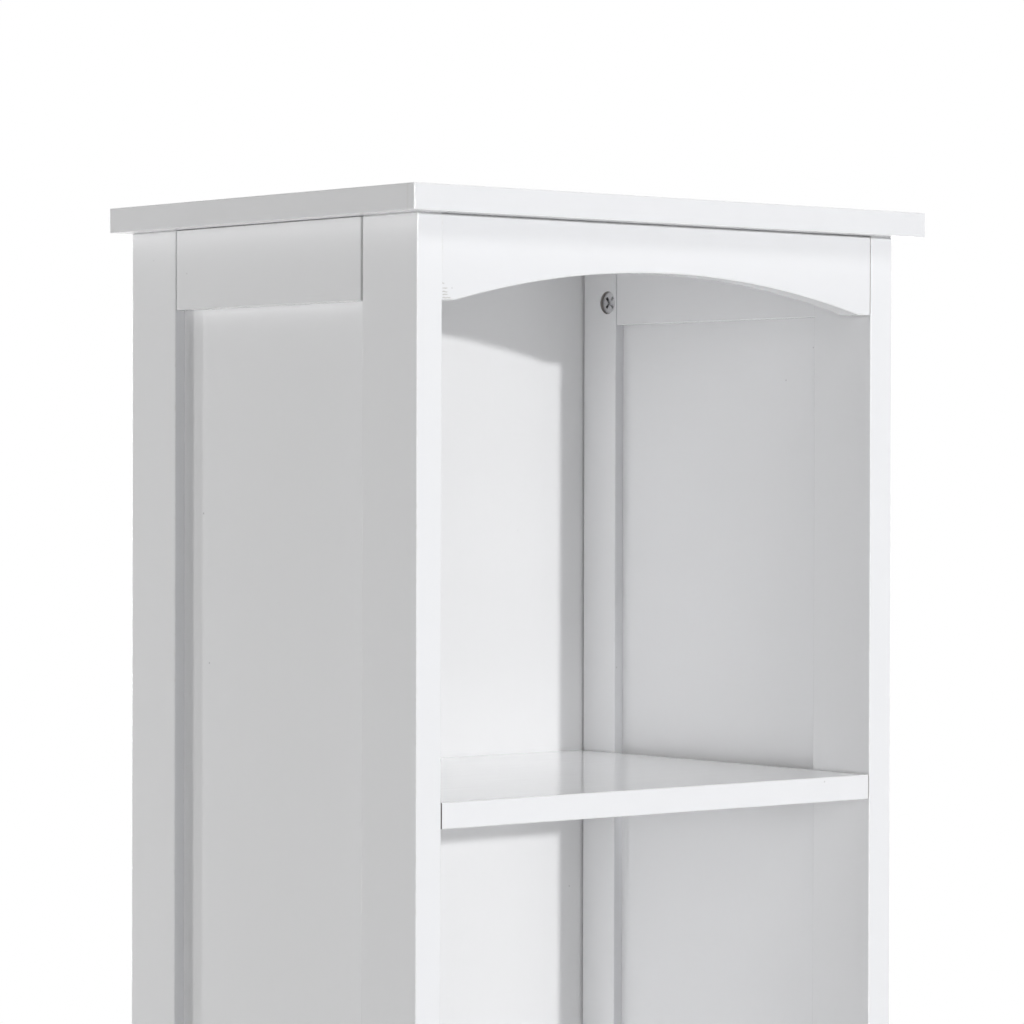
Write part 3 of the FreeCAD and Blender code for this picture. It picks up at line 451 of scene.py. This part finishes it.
def bare_bore_and_shade(g, name):
    """Share of bare board, dark also as painted shade, on the wall of the bore that a stile has for its
    cam lock.
    """
    low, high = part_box(name)
    across = high.y - BORE_FROM_INNER_EDGE if "front" in name else low.y + BORE_FROM_INNER_EDGE
    inputs = {0: g.place, 1: (0.0, 1.0, 1.0)}
    flat = g.add("ShaderNodeVectorMath", inputs, operation="MULTIPLY")
    inputs = {0: flat.outputs[0], 1: (0.0, across, high.z - BORE_FROM_TOP)}
    off = g.add("ShaderNodeVectorMath", inputs, operation="DISTANCE")
    inside = g.remap(off.outputs["Value"], BORE_RADIUS + BORE_SOFTNESS, BORE_RADIUS)
    face = min(abs(low.x), abs(high.x)) + BORE_PAINTED_LIP
    depth = g.math("ABSOLUTE", g.part("x"))
    below_lip = g.remap(depth, face, face + BORE_SOFTNESS)
    above_bottom = g.remap(depth, face + BORE_DEPTH + BORE_SOFTNESS, face + BORE_DEPTH)
    return g.math("MULTIPLY", inside, g.math("MULTIPLY", below_lip, above_bottom))


# Marks and painted shade in the paint of single boards: piece, the shares that are marked and their
# colours
MARKS = {
    # Bare board on cut ends also paints the shade in the gaps at the joints
    "valance": ((scuffs, SCUFF_COLOUR), (bare_right_end_and_gap_shade, BARE_BOARD_AND_SHADE)),
    "upper_shelf": ((bare_ends_and_gap_shade, BARE_BOARD_AND_SHADE),),
    "cabinet_deck": ((bare_ends_and_gap_shade, BARE_BOARD_AND_SHADE),),
    "drawer_divider": ((bare_ends_and_gap_shade, BARE_BOARD_AND_SHADE),),
    "cabinet_floor": ((bare_ends_and_gap_shade, BARE_BOARD_AND_SHADE),),
    "base_apron": ((bare_ends_and_gap_shade, BARE_BOARD_AND_SHADE),),
    "top_panel": ((lipping_line, LIPPING_COLOUR),),
    # Painted shade in the joints of the side rails
    "left_top_rail": ((painted_joint_shade, JOINT_SHADE_COLOUR),),
    "left_bottom_rail": ((painted_joint_shade, JOINT_SHADE_COLOUR),),
    "right_top_rail": ((painted_joint_shade, JOINT_SHADE_COLOUR),),
    "right_bottom_rail": ((painted_joint_shade, JOINT_SHADE_COLOUR),),
    # Bare wall of each cam lock's bore, dark also as painted shade
    "left_front_stile": ((bare_bore_and_shade, BARE_BOARD_AND_SHADE),),
    "left_rear_stile": ((bare_bore_and_shade, BARE_BOARD_AND_SHADE),),
    "right_front_stile": ((bare_bore_and_shade, BARE_BOARD_AND_SHADE),),
    "right_rear_stile": ((bare_bore_and_shade, BARE_BOARD_AND_SHADE),),
}


def painted_front_back_shade(g):
    """Share of the painted shade, a greyer colour on the faces that look to the front or the back."""
    return g.remap(g.math("ABSOLUTE", g.looking("y")), FRONT_BACK_SHADE_NONE, FRONT_BACK_SHADE_FULL)


def worn_spots(g):
    """Share of paint that is worn in spots along the edges."""
    spots = g.noise(g.place, WEAR_SPOT_SIZE, detail=4.0)
    spots = g.remap(spots, WEAR_SPOT_NONE, WEAR_SPOT_FULL, 0.0, WEAR_SHARE)
    return g.math("MULTIPLY", g.edges(WEAR_RADIUS), spots)


def dust_specks(g):
    """Share of dust in the paint, as small specks far from each other."""
    reach = DUST_RADIUS / DUST_SPACING
    return g.remap(g.cells(g.place, DUST_SPACING), reach, DUST_CORE * reach, 0.0, DUST_SHARE)


def paint(name, grain, piece=None):
    """White lacquer along a board's grain, with painted shade on its front and back faces, and the
    painted-shade tone and marks of a piece that has its own.
    """
    g = Graph(name)
    # Darker tone of painted shade for a piece that has its own
    tone = PAINTED_SHADE_TONES.get(piece, 1.0)
    clouds = g.noise(g.place, PAINT_CLOUD_SIZE)
    streaks = g.noise(g.stretched(grain, PAINT_STREAK_RATIO), PAINT_STREAK_SIZE, detail=3.0)
    peel = g.noise(g.place, PAINT_PEEL_SIZE)
    cloudy = g.level(clouds, 0.0, PAINT_CLOUD_SHARE)
    cloudy = g.math("ADD", cloudy, g.level(streaks, 0.0, PAINT_STREAK_SHARE))
    colour = g.blend(cloudy, shade(PAINT_SHADE, tone), shade(PAINT_COLOUR, tone))
    # Painted shade on the faces that look to the front or the back
    if piece not in WITHOUT_FRONT_BACK_SHADE:
        colour = g.blend(painted_front_back_shade(g), colour, FRONT_BACK_PAINTED_SHADE, way="MULTIPLY")
    colour = g.blend(worn_spots(g), colour, WEAR_COLOUR)
    colour = g.blend(dust_specks(g), colour, DUST_COLOUR)
    both = g.math("ADD", clouds, streaks)
    rough = g.remap(both, TWO_NOISES_LOW, TWO_NOISES_HIGH, PAINT_ROUGH_LOW, PAINT_ROUGH_HIGH)
    for share, mark_colour in MARKS.get(piece, ()):
        mark = share(g, piece)
        colour = g.blend(mark, colour, mark_colour)
        rough = g.remap(mark, 0.0, MARK_FULL, rough, MARK_ROUGH)
    normal = g.bump(streaks, PAINT_STREAK_HEIGHT)
    normal = g.bump(peel, PAINT_PEEL_HEIGHT, normal)
    g.surface(Base_Color=colour, Roughness=rough, IOR=PAINT_IOR, Normal=normal)
    return g.material


def metal(name, light, dark, rough_low, rough_high, grain_size, grain_height, brushed=None):
    """Bare or plated metal: toned by a fine grain, with painted shade in its recesses, bright on worn
    edges.
    """
    g = Graph(name)
    place = g.place if brushed is None else g.stretched(brushed, METAL_BRUSH_RATIO)
    grain = g.noise(place, grain_size, detail=4.0)
    blotch = g.noise(g.place, METAL_BLOTCH_SIZE)
    both = g.math("ADD", grain, blotch)
    colour = g.blend(g.remap(both, TWO_NOISES_LOW, TWO_NOISES_HIGH), dark, light)
    # Painted shade in the recesses, darkest where ambient occlusion is strongest
    reach = {"Distance": METAL_RECESS_REACH}
    recess = g.add("ShaderNodeAmbientOcclusion", reach, samples=METAL_RECESS_SAMPLES).outputs["AO"]
    colour = g.blend(g.remap(recess, METAL_RECESS_SHADE_FULL, METAL_RECESS_SHADE_NONE), METAL_RECESS_SHADE, colour)
    colour = g.rubbed(colour, METAL_EDGE_RADIUS, METAL_RUBBED_SHARE, METAL_RUBBED)
    rough = g.level(grain, rough_low, rough_high)
    g.surface(Base_Color=colour, Roughness=rough, Metallic=1.0, Normal=g.bump(grain, grain_height))
    return g.material


def beech(name):
    """Compressed beech of the dowels: pale streaks along their length with darker flecks."""
    g = Graph(name)
    streaks = g.noise(g.stretched(BEECH_GRAIN, BEECH_STREAK_RATIO), BEECH_STREAK_SIZE, detail=4.0)
    flecks = g.cells(g.stretched(BEECH_GRAIN, BEECH_FLECK_RATIO), BEECH_FLECK_SIZE)
    flecks = g.remap(flecks, BEECH_FLECK_NONE, BEECH_FLECK_FULL, 0.0, BEECH_FLECK_SHARE)
    colour = g.blend(g.level(streaks), BEECH_DARK, BEECH_LIGHT)
    colour = g.blend(flecks, colour, BEECH_FLECK)
    rough = g.level(streaks, BEECH_ROUGH_LOW, BEECH_ROUGH_HIGH)
    g.surface(Base_Color=colour, Roughness=rough, Normal=g.bump(streaks, BEECH_STREAK_HEIGHT))
    return g.material


def moulded_plastic(name):
    """White moulded plastic with a fine spark-eroded texture."""
    g = Graph(name)
    texture = g.noise(g.place, PLASTIC_TEXTURE_SIZE, detail=3.0)
    tint = g.noise(g.place, PLASTIC_TINT_SIZE)
    colour = g.blend(g.level(tint), PLASTIC_DARK, PLASTIC_LIGHT)
    colour = g.rubbed(colour, PLASTIC_EDGE_RADIUS, PLASTIC_RUBBED_SHARE, PLASTIC_RUBBED)
    rough = g.level(texture, PLASTIC_ROUGH_LOW, PLASTIC_ROUGH_HIGH)
    g.surface(Base_Color=colour, Roughness=rough, Normal=g.bump(texture, PLASTIC_TEXTURE_HEIGHT))
    return g.material


def ferrite(name):
    """Dark sintered magnet with a grainy matt face and paler rubbed edges."""
    g = Graph(name)
    grit = g.noise(g.place, FERRITE_GRIT_SIZE, detail=5.0, roughness=0.7)
    colour = g.blend(g.level(grit), FERRITE_DARK, FERRITE_LIGHT)
    colour = g.rubbed(colour, FERRITE_EDGE_RADIUS, FERRITE_RUBBED_SHARE, FERRITE_RUBBED)
    rough = g.level(grit, FERRITE_ROUGH_LOW, FERRITE_ROUGH_HIGH)
    g.surface(Base_Color=colour, Roughness=rough, Normal=g.bump(grit, FERRITE_GRIT_HEIGHT))
    return g.material


def grain_of(node):
    """The axis along which the grain of a painted piece runs."""
    for ending, axis in GRAIN_BY_NAME:
        if node.endswith(ending):
            return axis
    return GRAIN_OTHERWISE


def dress_nodes():
    """Gives every CAD node its finish, by the material slot that the record names for it."""
    paints = {axis: paint("white_paint_grain_" + axis, axis) for axis in AXES}
    own_paints = {}
    for name in sorted(PAINTED_SHADE_TONES.keys() | MARKS.keys() | set(WITHOUT_FRONT_BACK_SHADE)):
        own_paints[name] = paint("white_paint_" + name, grain_of(name), name)
    finishes = {slot: metal(**values) for slot, values in METALS.items()}
    finishes["dowel_wood"] = beech("compressed_beech")
    finishes["white_plastic"] = moulded_plastic("moulded_plastic")
    finishes["magnet"] = ferrite("ferrite_magnet")
    for name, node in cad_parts.items():
        for place in node.material_slots:
            slot = place.material.name.split(".")[0]
            if slot == "white_paint":
                place.material = own_paints.get(name, paints[grain_of(name)])
            else:
                place.material = finishes[slot]


class WorldGraph(Graph):
    """The world's node tree, with the same short ways to add to it."""

    def __init__(self, name):
        self.world = bpy.data.worlds.new(name)
        self.world.use_nodes = True
        self.tree = self.world.node_tree
        self.tree.nodes.clear()


def seen_rays(g):
    """1 for rays that show the background itself: straight, mirrored or through something clear."""
    path = g.add("ShaderNodeLightPath")
    seen = g.math("MAXIMUM", path.outputs["Is Camera Ray"], path.outputs["Is Glossy Ray"])
    return g.math("MAXIMUM", seen, path.outputs["Is Transmission Ray"])


def make_world():
    """Soft even light from all round, with a white background behind it."""
    g = WorldGraph("studio")
    inputs = {"Color": WORLD_COLOUR, "Strength": WORLD_STRENGTH}
    light = g.add("ShaderNodeBackground", inputs).outputs[0]
    inputs = {"Color": BACKGROUND_COLOUR, "Strength": BACKGROUND_STRENGTH}
    white = g.add("ShaderNodeBackground", inputs).outputs[0]
    mix = g.add("ShaderNodeMixShader", {0: seen_rays(g), 1: light, 2: white}).outputs[0]
    g.add("ShaderNodeOutputWorld", {"Surface": mix})
    bpy.context.scene.world = g.world


def floor_finish(name):
    """Pale studio floor that fades to the white background away from the object."""
    g = Graph(name)
    mottle = g.noise(g.place, FLOOR_MOTTLE_SIZE, detail=3.0)
    colour = g.blend(g.level(mottle), FLOOR_SHADE, FLOOR_COLOUR)
    g.surface(Base_Color=colour, Roughness=g.level(mottle, FLOOR_ROUGH_LOW, FLOOR_ROUGH_HIGH))
    away = g.add("ShaderNodeVectorMath", {0: g.place}, operation="LENGTH").outputs["Value"]
    white = g.remap(away, FLOOR_FADE_START, FLOOR_FADE_END, FLOOR_NEAR_WHITE, 1.0)
    share = g.math("MULTIPLY", white, seen_rays(g))
    inputs = {"Color": BACKGROUND_COLOUR, "Strength": BACKGROUND_STRENGTH}
    glow = g.add("ShaderNodeEmission", inputs).outputs[0]
    mix = g.add("ShaderNodeMixShader", {0: share, 1: g.shader.outputs[0], 2: glow})
    g.connect(g.tree.nodes["Material Output"].inputs["Surface"], mix.outputs[0])
    return g.material


def make_floor():
    """A large round floor under the object."""
    mesh = bpy.data.meshes.new("floor")
    ring = []
    for i in range(FLOOR_SIDES):
        turn = 2.0 * math.pi * i / FLOOR_SIDES
        ring.append((FLOOR_RADIUS * math.cos(turn), FLOOR_RADIUS * math.sin(turn), 0.0))
    mesh.from_pydata(ring, [], [range(FLOOR_SIDES)])
    floor = bpy.data.objects.new("floor", mesh)
    floor.data.materials.append(floor_finish("studio_floor"))
    bpy.context.scene.collection.objects.link(floor)


def lamp(name, place, target, width, height, power, mirrored=True):
    """An area lamp aimed at a target, which the camera doesn't see, nor reflections if not mirrored."""
    data = bpy.data.lights.new(name, "AREA")
    data.shape = "ELLIPSE" if width == height else "RECTANGLE"
    data.size = width
    data.size_y = height
    data.energy = power
    obj = bpy.data.objects.new(name, data)
    obj.location = place
    obj.rotation_mode = "QUATERNION"
    obj.rotation_quaternion = (target - place).to_track_quat("-Z", "Y")
    obj.visible_camera = False
    obj.visible_glossy = mirrored
    bpy.context.scene.collection.objects.link(obj)


def case_corner():
    """Front, left, top corner of the case under the top panel."""
    low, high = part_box("left_front_stile")
    return Vector((low.x, low.y, high.z))


def make_lamps():
    """The key lamp, the rim lamp, the soft boxes and the bounce box."""
    corner = case_corner()
    head = Vector((0.0, corner.y, corner.z))
    turn = math.radians(KEY_TURN)
    key = head + Vector((KEY_DISTANCE * math.sin(turn), -KEY_DISTANCE * math.cos(turn), KEY_RISE))
    lamp("key_lamp", key, head, KEY_DIAMETER, KEY_DIAMETER, KEY_POWER)
    side = Vector((corner.x, 0.0, RIM_LEVEL))
    turn = math.radians(RIM_TURN)
    rim = side + Vector((-RIM_DISTANCE * math.cos(turn), RIM_DISTANCE * math.sin(turn), 0.0))
    lamp("rim_lamp", rim, side, RIM_WIDTH, RIM_HEIGHT, RIM_POWER)
    for name, place, (width, height), power, mirrored in SOFT_BOXES:
        lamp(name, Vector(place), SOFT_BOXES_AIM, width, height, power, mirrored)
    bounce = Vector((0.0, 0.0, BOUNCE_LEVEL))
    lamp("bounce_box", bounce, SOFT_BOXES_AIM, BOUNCE_DIAMETER, BOUNCE_DIAMETER, BOUNCE_POWER)


def make_camera():
    """The photograph's camera."""
    data = bpy.data.cameras.new("camera")
    data.sensor_width = SENSOR_WIDTH * MILLIMETRES
    data.lens = LENS * MILLIMETRES
    yaw = math.radians(CAMERA_YAW)
    pitch = math.radians(CAMERA_PITCH)
    roll = math.radians(CAMERA_ROLL)
    flat = math.cos(pitch)
    ahead = Vector((math.sin(yaw) * flat, math.cos(yaw) * flat, math.sin(pitch)))
    level = Vector((math.cos(yaw), -math.sin(yaw), 0.0))
    above = level.cross(ahead)
    right = math.cos(roll) * level + math.sin(roll) * above
    up = math.cos(roll) * above - math.sin(roll) * level
    camera = bpy.data.objects.new("camera", data)
    turned = Matrix((right, up, -ahead)).transposed().to_4x4()
    camera.matrix_world = Matrix.Translation(case_corner() + CAMERA_FROM_CORNER) @ turned
    bpy.context.scene.collection.objects.link(camera)
    bpy.context.scene.camera = camera


bpy.context.scene.view_settings.view_transform = "Standard"
make_world()
make_floor()
make_lamps()
make_camera()
dress_nodes()
